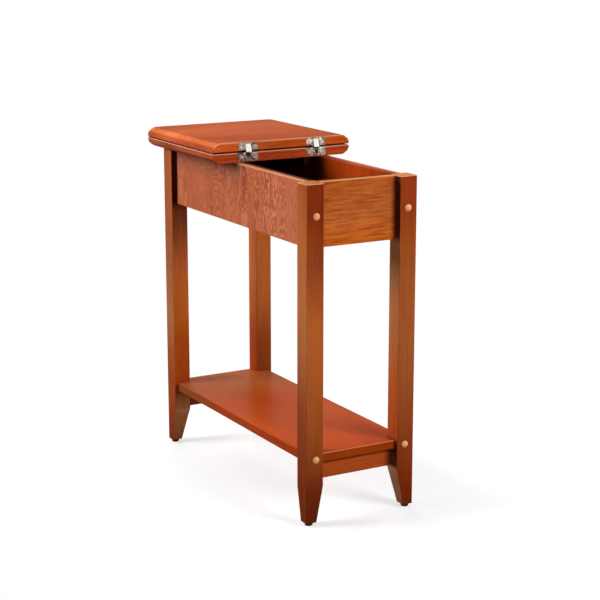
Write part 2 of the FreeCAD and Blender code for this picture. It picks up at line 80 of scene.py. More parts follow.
# Leaves with a softer bevel and softer far corners than the solids: the bevel, its rounds and the corners
leaf_bevel_width = 0.0125
leaf_bevel_height = 0.0080
leaf_profile_reach = 3 * leaf_bevel_width
leaf_foot_round = 0.0100
leaf_shoulder_round = 0.0120
leaf_corner_round = 0.0200
leaf_edge_round = 0.0015
leaf_least_round = 0.0030
leaf_slack = 0.00002
leaf_hinge_slack = 0.0010
leaf_round_steps = 8
leaf_corner_steps = 16
leaf_smooth_angle = math.radians(24)

# Countersunk screws: shares of the head's or the shank's radius, of the thread's pitch or of the length
screw_sides = 24
screw_rings_per_turn = 6
screw_turn_degrees = 37
shank_share = 0.50
cross_arm_share = 0.62
cross_width_share = 0.17
cross_depth_share = 0.30
head_flat_share = 0.94
head_height_share = 0.55
smooth_shank_share = 0.35
core_share = 0.74
crest_share = 0.50
thread_pitch_share = 0.42
point_share = 0.14

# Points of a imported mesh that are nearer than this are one
weld_distance = 0.000001

# Wood tones, dark to light, as linear colours
cherry_tones = ((0.220, 0.036, 0.008), (0.390, 0.085, 0.018), (0.530, 0.135, 0.034))
# Near-black tones of the pieces inside the box: a painted shade for the box's dark inside
inside_shade_tones = ((0.030, 0.008, 0.004), (0.050, 0.013, 0.006), (0.075, 0.020, 0.008))
plain_tones = ((0.36, 0.22, 0.11), (0.52, 0.35, 0.19), (0.66, 0.47, 0.28))
button_tones = ((0.54, 0.19, 0.055), (0.74, 0.30, 0.095), (0.86, 0.41, 0.150))
# Tones of the pale upper edges: painted highlights
edge_highlight_tone = (0.86, 0.42, 0.19)
pale_edge_highlight = (0.84, 0.47, 0.33)
fold_edge_highlight = (0.92, 0.47, 0.26)
pore_tone = (0.62, 0.56, 0.54)

# Tints of the boards' own stain, and tints by the way a face looks; many are painted light, as said at each
no_tint = (1, 1, 1)
# Pinker tone of the panels' veneer, which is also a painted sheen
veneer_and_sheen_tint = (1.04, 1.29, 2.65)
top_tint = (1.09, 0.86, 0.74)
shelf_tint = (1.04, 0.80, 0.60)
shelf_end_tint = (0.62, 0.73, 1.90)
shelf_side_tint = (0.66, 0.56, 0.48)
stretcher_tint = (0.82, 0.62, 0.42)
leaf_edge_tint = (0.84, 0.64, 0.80)
# Painted highlight on the upper leaf's bevel, painted light on its front face and painted sheen on its sides
leaf_bevel_highlight = (1.48, 2.00, 3.20)
flip_edge_light = (1.28, 1.22, 0.95)
flip_side_sheen = (0.84, 0.90, 1.95)
# Painted shade on the lower leaf's bevel, and painted sheen on its sides
under_bevel_shade = (0.45, 0.46, 0.62)
under_side_sheen = (0.74, 0.94, 1.80)
# Painted shade with a red cast on the right wall's inner face and the inner half of its rim
inner_painted_shade = (0.98, 0.45, 0.11)
# Painted shade for the dark seam between the leaves
seam_shade = (0.28, 0.22, 0.24)
# Painted shade on the buttons' lower side and a painted highlight on their upper side
button_shade_tint = (0.50, 0.31, 0.20)
button_highlight_tint = (1.14, 1.26, 1.36)
leaf_shade_tint = (0.45, 0.60, 0.76)
# Painted shade deep in the box, on the other walls' inner faces and the inner half of their rims
deep_painted_shade = (0.13, 0.09, 0.10)
# Painted highlights on the outer half of the rims of the panels and the aprons
panel_rim_highlight = (1.45, 2.00, 2.60)
apron_rim_highlight = (1.90, 3.10, 3.20)
# Painted highlight on the legs' tops and a painted sheen on their sides
leg_top_highlight = (1.55, 2.30, 3.20)
leg_side_sheen = (0.98, 1.14, 1.45)

# Grain: features per metre across it, how far each is drawn out along it, and its relief
tone_scale = 8.0
tone_stretch = 0.30
streak_scale = 260.0
streak_detail = 4.0
streak_roughness = 0.60
pore_scale = 640.0
pore_stretch = 0.030
figure_scale = 10.0
figure_sharpness = 2.0
figure_mean = 0.375
faint_figure_share = 0.45
ripple_scale = 90.0
calm_scale = 14.0
noise_middle = 0.5
tone_shares = (0.12, 0.5, 0.9)
pore_shares = (0.30, 0.42)
pore_depth_share = 0.60
streak_relief_share = 0.60
pore_relief_share = 0.40
grain_bump_share = 0.35
grain_height = 0.00030
grain_gloss_shares = (0.2, 0.8)
grain_gloss_swing = (-0.06, 0.08)
seed_step = 3.7
leg_seed = 11
board_seed = 21
inside_seed = 41
dowel_seed = 51
button_seed = 61

# Edges: shares of a normal that point one way, between which a face counts as slanted, rounded or turned.
# Of four shares, the two middle ones are where it counts in full.
bevel_slope_shares = (0.55, 0.75, 0.90, 0.985)
round_slope_shares = (0.20, 0.35, 0.75, 0.88)
seam_slope_shares = (0.20, 0.40, 0.96, 0.99)
edge_side_shares = (0.1, 0.2)
upper_edge_width = 0.0050
upper_edge_samples = 4
upper_edge_slope_shares = (0.15, 0.55)
upper_edge_turn_shares = (0.995, 0.90)
button_shade_shares = (0.05, 0.60)
button_highlight_shares = (0.10, 0.45)

# Where stains and painted light and shade begin and end: painted light and shade up the legs, a stain up
# the aprons, along the panels, painted shade under the folded leaves, and a painted highlight and shade
# across the box's rim
leg_painted_light_span = (0.0, 0.63)
apron_stain_span = (0.48, 0.60)
panel_swell_span = (0.12, -0.10)
leaf_shade_height_span = (0.545, 0.588)
leaf_shade_depth_span = (-0.045, 0.0)
rim_shares = (0.42, 0.54)

# Metals: tones, roughness, direction of the brushing and mottles per metre, then what all of them share
metals = {
    # The hinge plates' brown and pale mottles are painted reflections of the wood and the surroundings
    "nickel_painted_reflections": {"bright": (0.72, 0.60, 0.49), "dull": (0.14, 0.074, 0.040), "roughness": 0.28,
                       "brush_axis": "x", "mottle_scale": 150.0},
    "bright_nickel": {"bright": (0.93, 0.92, 0.88), "dull": (0.80, 0.78, 0.73), "roughness": 0.24,
                      "brush_axis": "z", "mottle_scale": 160.0},
    "zinc_plate": {"bright": (0.78, 0.76, 0.72), "dull": (0.50, 0.46, 0.41), "roughness": 0.30,
                   "brush_axis": "y", "mottle_scale": 300.0},
}
brush_scale = 2600.0
brush_stretch = 0.04
brush_detail = 3.0
brush_bump_share = 0.25
brush_height = 0.0001
mottle_detail = 3.0
mottle_roughness = 0.60
mottle_tone_shares = (0.40, 0.62)
mottle_gloss_shares = (0.3, 0.7)
mottle_gloss_swing = (0.12, -0.06)

# Plastic of the glides
plastic_tone = (0.012, 0.011, 0.010)
plastic_scuffed_tone = (0.050, 0.046, 0.042)
plastic_specular = 0.10
pebble_scale = 1800.0
pebble_bump_share = 0.30
pebble_height = 0.0001
scuff_scale = 240.0
scuff_detail = 4.0
scuff_roughness = 0.65
scuff_tone_shares = (0.45, 0.75)
scuff_gloss_shares = (0.2, 0.8)
scuff_gloss = (0.42, 0.68)

# Finish of a board where its own look says nothing else. Patches, streaks and figure move its tone, stretch
# and draw are how far streaks and figure are drawn out, rings, jagged, ripple, calm and swell shape the
# figure, and then come tints by the place and the way a face looks, many of them painted light and shade,
# edges with painted highlights and a seam with painted shade, and the gloss.
plain_look = {
    "tones": cherry_tones, "shift": 0.0, "patches": 1.0, "streaks": 0.24, "stretch": 0.030,
    "figure": 0.10, "figure_side": None, "draw": 0.15, "rings": 40.0, "jagged": 1.0, "ripple": 0.004,
    "calm": (0.38, 0.62), "swell": None,
    "tint": None, "stains": (), "shade": None, "sides": (), "bevel": None, "seam": None,
    "edge": edge_highlight_tone, "edge_share": 0.80, "edge_side": None, "edge_span": None, "rounded": True,
    "roughness": 0.46, "specular": 0.05,
}


def new_material(name):
    """Empty node material and its tree."""
    material = bpy.data.materials.new(name)
    material.use_nodes = True
    material.node_tree.nodes.clear()
    return material, material.node_tree


def add(tree, kind, inputs=None, **settings):
    """New node with its settings, and its inputs linked from sockets or set to values."""
    node = tree.nodes.new(kind)
    for key, value in settings.items():
        setattr(node, key, value)
    for key, value in (inputs or {}).items():
        if isinstance(value, bpy.types.NodeSocket):
            tree.links.new(value, node.inputs[key])
        else:
            node.inputs[key].default_value = value
    return node


def math_node(tree, operation, first, second=0.0):
    """Result socket of one Math node."""
    return add(tree, "ShaderNodeMath", {0: first, 1: second}, operation=operation).outputs[0]


def product(tree, first, second):
    """Product of two numbers."""
    return math_node(tree, "MULTIPLY", first, second)


def vector_node(tree, operation, first, second):
    """Result socket of one Vector Math node."""
    return add(tree, "ShaderNodeVectorMath", {0: first, 1: second}, operation=operation).outputs["Vector"]


def dot(tree, first, second):
    """Dot product of two vectors."""
    return add(tree, "ShaderNodeVectorMath", {0: first, 1: second}, operation="DOT_PRODUCT").outputs["Value"]


def spread(tree, value, low, high, to_low=0.0, to_high=1.0):
    """Value mapped from one range to another."""
    inputs = {"Value": value, "From Min": low, "From Max": high, "To Min": to_low, "To Max": to_high}
    return add(tree, "ShaderNodeMapRange", inputs).outputs["Result"]


def way_along(tree, place, axis, low, high, *ends):
    """How far a place lies from low to high along an axis: 0 to 1, or between two other ends."""
    return spread(tree, dot(tree, place, axes[axis]), low, high, *ends)


def ramp(tree, factor, stops):
    """Colour ramp through (position, colour) stops."""
    node = add(tree, "ShaderNodeValToRGB", {"Fac": factor})
    elements = node.color_ramp.elements
    while len(elements) < len(stops):
        elements.new(1.0)
    for element, (position, colour) in zip(elements, stops):
        element.position = position
        element.color = (*colour, 1.0)
    return node.outputs["Color"]


def band(tree, value, shares):
    """1 between the two middle shares, down to 0 at the outer two."""
    off, on = (0, 0, 0), (1, 1, 1)
    return ramp(tree, value, list(zip(shares, (off, on, on, off))))


def mixed(tree, factor, first, second, blend="MIX"):
    """Result colour of one Mix node."""
    node = add(tree, "ShaderNodeMix", data_type="RGBA", blend_type=blend, clamp_factor=True)
    sockets = {socket.identifier: socket for socket in node.inputs}
    for key, value in (("Factor_Float", factor), ("A_Color", first), ("B_Color", second)):
        if isinstance(value, bpy.types.NodeSocket):
            tree.links.new(value, sockets[key])
        elif key == "Factor_Float":
            sockets[key].default_value = value
        else:
            sockets[key].default_value = (*value, 1.0)
    return {socket.identifier: socket for socket in node.outputs}["Result_Color"]


def stretched(tree, coordinates, grain, stretch, seed):
    """Coordinates drawn out along the grain and moved to a place of their own."""
    scale = Vector((1, 1, 1)) + axes[grain] * (stretch - 1)
    place = Vector((seed, seed / 2, -seed)) * seed_step
    inputs = {"Vector": coordinates, "Location": place, "Scale": scale}
    return add(tree, "ShaderNodeMapping", inputs).outputs[0]


def noise(tree, vector, scale, detail=2.0, roughness=0.5, output="Fac"):
    """Factor or colour of a noise texture."""
    inputs = {"Vector": vector, "Scale": scale, "Detail": detail, "Roughness": roughness}
    return add(tree, "ShaderNodeTexNoise", inputs).outputs[output]


def wandering(tree, place, scale, amount):
    """Coordinates pushed about by noise, up to half the amount each way."""
    push = vector_node(tree, "SUBTRACT", noise(tree, place, scale, output="Color"), [noise_middle] * 3)
    return vector_node(tree, "ADD", place, vector_node(tree, "MULTIPLY", push, [amount] * 3))


def looking(tree, normal, direction, low=0.80, high=0.95):
    """1 on faces that look one way, 0 on the others."""
    return spread(tree, dot(tree, normal, direction), low, high)


def figure_lines(tree, place, normal, grain, seed, look):
    """Growth lines of a cut across the rings: level lines of a slow field, weak where it is calm."""
    pushed = wandering(tree, place, ripple_scale, look["ripple"])
    field = noise(tree, stretched(tree, pushed, grain, look["draw"], seed), figure_scale, look["jagged"])
    swing = math_node(tree, "SINE", product(tree, field, 2 * math.pi * look["rings"]))
    lines = math_node(tree, "POWER", spread(tree, swing, -1.0, 1.0), figure_sharpness)
    lines = math_node(tree, "SUBTRACT", lines, figure_mean)
    slow = noise(tree, stretched(tree, place, grain, look["draw"], seed + 5), calm_scale)
    lines = product(tree, lines, spread(tree, slow, *look["calm"]))
    if look["swell"]:
        lines = product(tree, lines, way_along(tree, place, *look["swell"], faint_figure_share, 1.0))
    if look["figure_side"]:
        lines = product(tree, lines, looking(tree, normal, look["figure_side"]))
    return lines


def slanted(tree, normal):
    """1 on bevels, 0 on level and on upright faces."""
    return band(tree, math_node(tree, "ABSOLUTE", dot(tree, normal, axes["z"])), bevel_slope_shares)


def rounded_edges(tree, normal):
    """1 along rounded edges that look upwards."""
    return band(tree, dot(tree, normal, axes["z"]), round_slope_shares)


def seam_edges(tree, normal, direction):
    """1 along rounded edges that look one way, up to the flat face there."""
    return band(tree, dot(tree, normal, direction), seam_slope_shares)


def sharp_edges(tree, normal):
    """1 along sharp edges that look upwards, found by how far a softened normal leaves the face's own."""
    bevel = add(tree, "ShaderNodeBevel", {"Radius": upper_edge_width}, samples=upper_edge_samples).outputs[0]
    turned = add(tree, "ShaderNodeVectorTransform", {"Vector": bevel}, vector_type="NORMAL",
                 convert_from="WORLD", convert_to="OBJECT").outputs[0]
    bent = spread(tree, dot(tree, turned, normal), *upper_edge_turn_shares)
    return product(tree, bent, looking(tree, turned, axes["z"], *upper_edge_slope_shares))


def grain_colour(tree, place, normal, grain, seed, look):
    """Colour from tone patches, streaks, figure and pores, with the streaks and pores for the relief."""
    patches = noise(tree, stretched(tree, place, grain, tone_stretch, seed), tone_scale)
    streak_place = stretched(tree, place, grain, look["stretch"], seed + 1)
    streaks = noise(tree, streak_place, streak_scale, streak_detail, streak_roughness)
    lines = figure_lines(tree, place, normal, grain, seed + 2, look)
    pores = noise(tree, stretched(tree, place, grain, pore_stretch, seed + 3), pore_scale)
    tone = tone_shares[1] + look["shift"]
    for layer, middle, weight in ((patches, noise_middle, look["patches"]),
                                  (streaks, noise_middle, 2 * look["streaks"]), (lines, 0.0, look["figure"])):
        swing = product(tree, math_node(tree, "SUBTRACT", layer, middle), weight)
        tone = math_node(tree, "ADD", swing, tone)
    colour = ramp(tree, tone, list(zip(tone_shares, look["tones"])))
    pore_shade = ramp(tree, pores, list(zip(pore_shares, (pore_tone, no_tint))))
    return mixed(tree, pore_depth_share, colour, pore_shade, "MULTIPLY"), streaks, pores


def stained_and_shaded(tree, colour, place, normal, look):
    """Colour under its tint, stains and painted light along an axis, painted shade and the tints of its
    sides.
    """
    if look["tint"]:
        colour = mixed(tree, 1.0, colour, look["tint"], "MULTIPLY")
    for direction, axis, low, high, stops in look["stains"]:
        where = looking(tree, normal, direction) if direction else 1.0
        stain = ramp(tree, way_along(tree, place, axis, low, high), stops)
        colour = mixed(tree, where, colour, stain, "MULTIPLY")
    if look["shade"]:
        where = 1.0
        for axis, low, high in look["shade"]:
            where = product(tree, way_along(tree, place, axis, low, high), where)
        colour = mixed(tree, where, colour, leaf_shade_tint, "MULTIPLY")
    for direction, tint, *limits in look["sides"]:
        colour = mixed(tree, looking(tree, normal, direction, *limits), colour, tint, "MULTIPLY")
    if look["bevel"]:
        colour = mixed(tree, slanted(tree, normal), colour, look["bevel"], "MULTIPLY")
    return colour


def edge_highlight_and_seam_shade(tree, colour, place, normal, look):
    """Colour with painted highlights on the upper edges and a painted shade at a seam."""
    edges = rounded_edges(tree, normal) if look["rounded"] else sharp_edges(tree, normal)
    if look["edge_side"]:
        edges = product(tree, edges, looking(tree, normal, look["edge_side"], *edge_side_shares))
    if look["edge_span"]:
        edges = product(tree, edges, way_along(tree, place, *look["edge_span"]))
    colour = mixed(tree, product(tree, edges, look["edge_share"]), colour, look["edge"])
    if look["seam"]:
        colour = mixed(tree, seam_edges(tree, normal, look["seam"]), colour, seam_shade, "MULTIPLY")
    return colour


def wood(name, seed, grain, **changes):
    """Stained wood: grain, stains and painted light along an axis, tints by the way a face looks, and painted
    edge highlights.
    """
    look = {**plain_look, **changes}
    material, tree = new_material(name)
    source = add(tree, "ShaderNodeTexCoord")
    place, normal = source.outputs["Object"], source.outputs["Normal"]
    colour, streaks, pores = grain_colour(tree, place, normal, grain, seed, look)
    colour = stained_and_shaded(tree, colour, place, normal, look)
    colour = edge_highlight_and_seam_shade(tree, colour, place, normal, look)
    relief = math_node(tree, "ADD", product(tree, streaks, streak_relief_share),
                       product(tree, pores, pore_relief_share))
    bump = add(tree, "ShaderNodeBump", {"Height": relief, "Strength": grain_bump_share,
                                        "Distance": grain_height})
    gloss_ends = [look["roughness"] + swing for swing in grain_gloss_swing]
    gloss = spread(tree, streaks, *grain_gloss_shares, *gloss_ends)
    shader = add(tree, "ShaderNodeBsdfPrincipled", {"Base Color": colour, "Roughness": gloss,
                                                    "Normal": bump.outputs[0],
                                                    "Specular IOR Level": look["specular"]})
    add(tree, "ShaderNodeOutputMaterial", {"Surface": shader.outputs[0]})
    return material


def metal(name, bright, dull, roughness, brush_axis, mottle_scale):
    """Plated metal with fine brushing, and mottled where it is duller."""
    material, tree = new_material(name)
    place = add(tree, "ShaderNodeTexCoord").outputs["Object"]
    brush = noise(tree, stretched(tree, place, brush_axis, brush_stretch, 1.0), brush_scale, brush_detail)
    mottle = noise(tree, place, mottle_scale, mottle_detail, mottle_roughness)
    tint = ramp(tree, mottle, list(zip(mottle_tone_shares, (dull, bright))))
    gloss_ends = [roughness + swing for swing in mottle_gloss_swing]
    gloss = spread(tree, mottle, *mottle_gloss_shares, *gloss_ends)
    bump = add(tree, "ShaderNodeBump", {"Height": brush, "Strength": brush_bump_share,
                                        "Distance": brush_height})
    shader = add(tree, "ShaderNodeBsdfPrincipled", {"Base Color": tint, "Metallic": 1.0, "Roughness": gloss,
                                                    "Normal": bump.outputs[0]})
    add(tree, "ShaderNodeOutputMaterial", {"Surface": shader.outputs[0]})
    return material


def moulded_plastic(name):
    """Dark moulded plastic with a fine pebble and scuffs."""
    material, tree = new_material(name)
    place = add(tree, "ShaderNodeTexCoord").outputs["Object"]
    pebble = noise(tree, place, pebble_scale)
    scuffs = noise(tree, place, scuff_scale, scuff_detail, scuff_roughness)
    tint = ramp(tree, scuffs, list(zip(scuff_tone_shares, (plastic_tone, plastic_scuffed_tone))))
    gloss = spread(tree, scuffs, *scuff_gloss_shares, *scuff_gloss)
    bump = add(tree, "ShaderNodeBump", {"Height": pebble, "Strength": pebble_bump_share,
                                        "Distance": pebble_height})
    shader = add(tree, "ShaderNodeBsdfPrincipled", {"Base Color": tint, "Roughness": gloss,
                                                    "Normal": bump.outputs[0],
                                                    "Specular IOR Level": plastic_specular})
    add(tree, "ShaderNodeOutputMaterial", {"Surface": shader.outputs[0]})
    return material


def dress(node_name, material):
    """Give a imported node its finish."""
    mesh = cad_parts[node_name].data
    mesh.materials.clear()
    mesh.materials.append(material)


def reach(node_name, axis, outside):
    """Ends of a node along an axis, the end that looks outside first."""
    places = [vert.co.dot(axes[axis]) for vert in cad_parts[node_name].data.vertices]
    return (max(places), min(places)) if outside > 0 else (min(places), max(places))


# Legs: tints by height, as (share of the span, tint there), nearly all painted light and shade. Painted shade
# darkens the legs towards the feet, the front faces near the top and the nooks beside shelf and box; painted
# light brightens faces at mid height that lie in shadow, a painted reflection makes the front left leg redder
# by the shelf, and painted light from the floor makes the feet's inner faces paler.
foot_painted_shade = [(0.0, (0.31, 0.20, 0.21)), (0.10, (0.38, 0.27, 0.28)), (0.17, (0.62, 0.54, 0.52)),
              (0.42, (0.92, 0.95, 1.0)), (0.65, no_tint)]
front_painted_shade = [(0.0, (0.78, 0.68, 0.68)), (0.24, (0.90, 0.88, 0.78)), (0.48, (0.95, 0.95, 0.80)),
               (0.73, (0.86, 0.82, 0.66)), (0.85, (0.55, 0.35, 0.30))]
front_left_painted_light = [(0.56, no_tint), (0.73, (0.66, 0.60, 0.82)), (0.80, (0.88, 0.80, 0.82)),
                    (0.92, (1.14, 1.12, 1.06))]
front_right_painted_light = [(0.0, (1.75, 1.80, 1.45)), (0.10, (1.58, 1.60, 1.25)), (0.17, (1.08, 1.02, 1.10)),
                     (0.42, (0.88, 1.02, 1.42)), (0.62, (0.90, 1.0, 1.35)), (0.72, (0.80, 0.84, 0.95)),
                     (0.88, (1.08, 1.08, 0.95))]
left_face_painted_reflection = [(0.0, (1.0, 0.90, 0.55)), (0.10, (1.0, 0.70, 0.40)), (0.17, (0.72, 0.54, 0.42)),
                   (0.32, (0.72, 0.52, 0.44)), (0.50, (0.86, 1.0, 1.02)), (0.85, (0.95, 0.98, 0.94))]
back_left_painted_light = [(0.16, (1.40, 1.42, 0.96)), (0.20, (1.45, 1.10, 0.65)), (0.34, (1.22, 0.95, 0.36)),
                   (0.42, (1.42, 1.50, 0.85)), (0.56, (1.85, 2.05, 2.30)), (0.74, (1.0, 1.20, 1.90)),
                   (0.77, (0.15, 0.09, 0.10))]
pale_face_painted_light = [(0.0, (1.80, 1.45, 1.0)), (0.10, (1.70, 1.38, 0.86)), (0.20, (1.0, 0.80, 0.52)),
                   (0.30, (0.92, 0.90, 0.85)), (0.44, (0.92, 1.22, 1.70)), (0.60, (0.74, 0.84, 1.12)),
                   (1.0, (0.78, 0.74, 0.84))]
back_right_painted_light = [(0.20, (0.82, 0.74, 0.60)), (0.30, (0.77, 0.70, 0.52)), (0.42, (1.02, 1.12, 1.08)),
                    (0.60, (1.30, 1.60, 1.50)), (0.70, (1.20, 1.40, 1.40)), (0.78, (0.55, 0.36, 0.30))]
back_face_painted_light = [(0.20, (1.45, 0.87, 0.42)), (0.31, (1.14, 0.78, 0.54)), (0.42, (1.26, 1.20, 1.07)),
                   (0.52, (1.45, 1.58, 1.60))]
inner_foot_painted_light = [(0.0, (1.3, 1.6, 1.6)), (0.105, (1.6, 2.0, 2.0)), (0.17, no_tint)]
back_left_foot_painted_light = [(0.0, (3.6, 6.6, 11.5)), (0.06, (4.0, 10.6, 26.0)), (0.105, (3.8, 10.0, 26.0)),
                        (0.17, no_tint)]
front_right_foot_painted_light = [(0.0, (2.8, 5.8, 8.5)), (0.06, (4.4, 12.0, 20.0)), (0.11, (4.8, 13.0, 21.0)),
                          (0.17, no_tint)]
nook_painted_shade_and_light = [(0.115, no_tint), (0.125, (0.18, 0.13, 0.17)), (0.17, (0.38, 0.34, 0.42)),
              (0.195, (0.38, 0.34, 0.42)), (0.205, (1.35, 1.05, 0.80)), (0.35, (1.20, 0.95, 0.72)),
              (0.52, (0.95, 1.15, 1.30)), (0.755, (1.10, 1.70, 2.40)), (0.775, (0.22, 0.17, 0.26))]
left, right, front, back = -axes["x"], axes["x"], -axes["y"], axes["y"]
leg_stains = {
    "front_left": [(front, front_painted_shade), (front, front_left_painted_light), (left, left_face_painted_reflection),
                   (right, nook_painted_shade_and_light), (right, inner_foot_painted_light), (back, inner_foot_painted_light)],
    "front_right": [(front, front_painted_shade), (front, front_right_painted_light), (left, nook_painted_shade_and_light),
                    (left, front_right_foot_painted_light), (back, inner_foot_painted_light)],
    "back_left": [(front, back_left_painted_light), (left, pale_face_painted_light), (front, back_left_foot_painted_light),
                  (right, inner_foot_painted_light)],
    "back_right": [(front, back_right_painted_light), (left, back_face_painted_light), (front, inner_foot_painted_light),
                   (left, inner_foot_painted_light)],
}
leg_look = {"grain": "z", "figure": 0.06, "specular": 0.012,
            "sides": [(left, leg_side_sheen), (right, leg_side_sheen), (axes["z"], leg_top_highlight)]}
for index, (corner, face_stains) in enumerate(leg_stains.items()):
    stains = [(direction, "z", *leg_painted_light_span, stops)
              for direction, stops in [(None, foot_painted_shade), *face_stains]]
    dress(corner + "_leg", wood("cherry_leg_" + corner, leg_seed + index, stains=stains, **leg_look))

# Boards of the box, the shelf and the leaves
apron_stain = [(0.0, (1.18, 1.10, 0.46)), (0.45, (1.0, 1.04, 1.02)), (1.0, (1.0, 1.0, 0.86))]
# Along the shelf: redder at the front, and a painted sheen that makes it paler and bluer towards the back
shelf_sheen = [(0.0, (1.02, 0.70, 0.12)), (0.42, (1.08, 1.0, 0.86)), (0.60, (1.02, 0.86, 0.70)),
               (0.73, (0.88, 0.98, 1.14)), (0.88, (0.80, 1.18, 1.86)), (1.0, (0.94, 1.30, 1.86))]
# Painted shadow under the shelf's edge, along the stretchers' top
stretcher_shadow = [(0.74, no_tint), (0.86, (0.28, 0.22, 0.22))]
apron_look = {"grain": "x", "streaks": 0.72, "stretch": 0.110, "figure": 0.14, "rings": 60.0, "draw": 0.12,
              "jagged": 3.0, "shift": 0.04, "specular": 0.006,
              "stains": [(None, "z", *apron_stain_span, apron_stain)]}
panel_look = {"grain": "z", "streaks": 0.22, "figure": 0.56, "rings": 36.0, "draw": 0.30, "jagged": 2.5,
              "ripple": 0.022, "calm": (0.29, 0.50), "swell": ("y", *panel_swell_span), "specular": 0.006,
              "tint": veneer_and_sheen_tint, "shade": [("z", *leaf_shade_height_span), ("y", *leaf_shade_depth_span)]}
leaf_look = {"grain": "x", "patches": 1.2, "streaks": 0.40, "figure": 0.14, "jagged": 2.5, "tint": top_tint,
             "specular": 0.006, "bevel": leaf_bevel_highlight, "edge": pale_edge_highlight}


def wall_finish(node_name, axis, outside, look, rim_highlight_tint, inside_shade_tint):
    """Finish of a wall: painted highlight on the rim's outer half, painted shade on its inner half and inner
    face.
    """
    outer_side = axes[axis] * outside
    rim_highlight_and_shade = list(zip(rim_shares, (rim_highlight_tint, inside_shade_tint)))
    stains = [*look.get("stains", ()), (axes["z"], axis, *reach(node_name, axis, outside), rim_highlight_and_shade)]
    return {**look, "stains": stains, "sides": [(-outer_side, inside_shade_tint)], "edge_side": outer_side,
            "figure_side": outer_side}


def stretcher_finish(node_name):
    """Finish of a stretcher: a painted shadow under the shelf's edge."""
    stain = (None, "z", *reach(node_name, "z", -1), stretcher_shadow)
    return {"grain": "x", "tint": stretcher_tint, "stains": [stain]}


hinge_end = reach("flip_leaf", "y", -1)[0]
boards = {
    "left_side_panel": wall_finish("left_side_panel", "x", -1, panel_look, panel_rim_highlight, deep_painted_shade),
    "right_side_panel": wall_finish("right_side_panel", "x", 1, panel_look, panel_rim_highlight, inner_painted_shade),
    "front_apron": wall_finish("front_apron", "y", -1, apron_look, apron_rim_highlight, deep_painted_shade),
    "back_apron": wall_finish("back_apron", "y", 1, apron_look, apron_rim_highlight, deep_painted_shade),
    "front_stretcher": stretcher_finish("front_stretcher"),
    "back_stretcher": stretcher_finish("back_stretcher"),
    "shelf": {"grain": "y", "streaks": 0.14, "figure": 0.05, "patches": 0.8, "tint": shelf_tint,
              "specular": 0.010, "roughness": 0.30, "edge_side": front, "edge_share": 0.50,
              "stains": [(None, "y", *reach("shelf", "y", -1), shelf_sheen)],
              "sides": [(front, shelf_end_tint), (back, shelf_end_tint), (left, shelf_side_tint),
                        (right, shelf_side_tint)]},
    "fixed_leaf": {**leaf_look, "bevel": under_bevel_shade,
                   "sides": [(front, leaf_edge_tint), (left, under_side_sheen), (right, under_side_sheen)]},
    "flip_leaf": {**leaf_look, "rounded": False, "edge": fold_edge_highlight, "edge_share": 0.95,
                  "edge_span": ("y", hinge_end + 2 * upper_edge_width, hinge_end + upper_edge_width),
                  # Painted shade on the flip leaf's rounded edges that look down: the dark seam between the
                  # leaves
                  "seam": -axes["z"],
                  "sides": [(front, flip_edge_light), (left, flip_side_sheen), (right, flip_side_sheen)]},
}
for index, (board, board_look) in enumerate(boards.items()):
    dress(board, wood("cherry_" + board, board_seed + index, **board_look))


def join_rings(builder, first, second):
    """Band of faces between two rings."""
    count = len(first)
    for step in range(count):
        after = (step + 1) % count
        builder.faces.new((first[step], first[after], second[after], second[step]))


def finished_mesh(builder, name):
    """Mesh of what a builder holds. The builder is done with then."""
    mesh = bpy.data.meshes.new(name)
    builder.to_mesh(mesh)
    builder.free()
    return mesh


def welded(node_name):
    """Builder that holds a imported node's mesh, with its faces joined."""
    builder = bmesh.new()
    builder.from_mesh(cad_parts[node_name].data)
    bmesh.ops.remove_doubles(builder, verts=builder.verts, dist=weld_distance)
    return builder


def rounded_corner(before, corner, after, radius):
    """Points of the arc that rounds a corner of an outline."""
    arms = [(before - corner).normalized(), (after - corner).normalized()]
    half = arms[0].angle(arms[1]) / 2
    centre = corner + (arms[0] + arms[1]).normalized() * (radius / math.sin(half))
    ends = [corner + arm * (radius / math.tan(half)) - centre for arm in arms]
    turn = ends[0].angle_signed(ends[1])
    return [centre + Matrix.Rotation(-turn * step / leaf_round_steps, 2) @ ends[0]
            for step in range(leaf_round_steps + 1)]


def leaf_profile(thickness):
    """Points of a leaf's free edge, inset and height over the bevelled face, from that face to the other."""
    inside = Vector((leaf_profile_reach, 0.0))
    foot = Vector((leaf_bevel_width, 0.0))
    shoulder = Vector((0.0, leaf_bevel_height))
    top = Vector((0.0, thickness))
    other_inside = Vector((leaf_profile_reach, thickness))
    return [*rounded_corner(inside, foot, shoulder, leaf_foot_round),
            *rounded_corner(foot, shoulder, top, leaf_shoulder_round),
            *rounded_corner(shoulder, top, other_inside, leaf_edge_round)]


def leaf_plan(half_width, hinge, free, radius):
    """Outline of a leaf from above, from its left hinge corner round to the right one."""
    points = [(-half_width, hinge)]
    for side, start in ((-1, math.pi), (1, math.pi / 2)):
        for step in range(leaf_corner_steps + 1):
            angle = start - math.pi / 2 * step / leaf_corner_steps
            points.append((side * (half_width - radius) + radius * math.cos(angle),
                           free - radius + radius * math.sin(angle)))
    return points + [(half_width, hinge)]


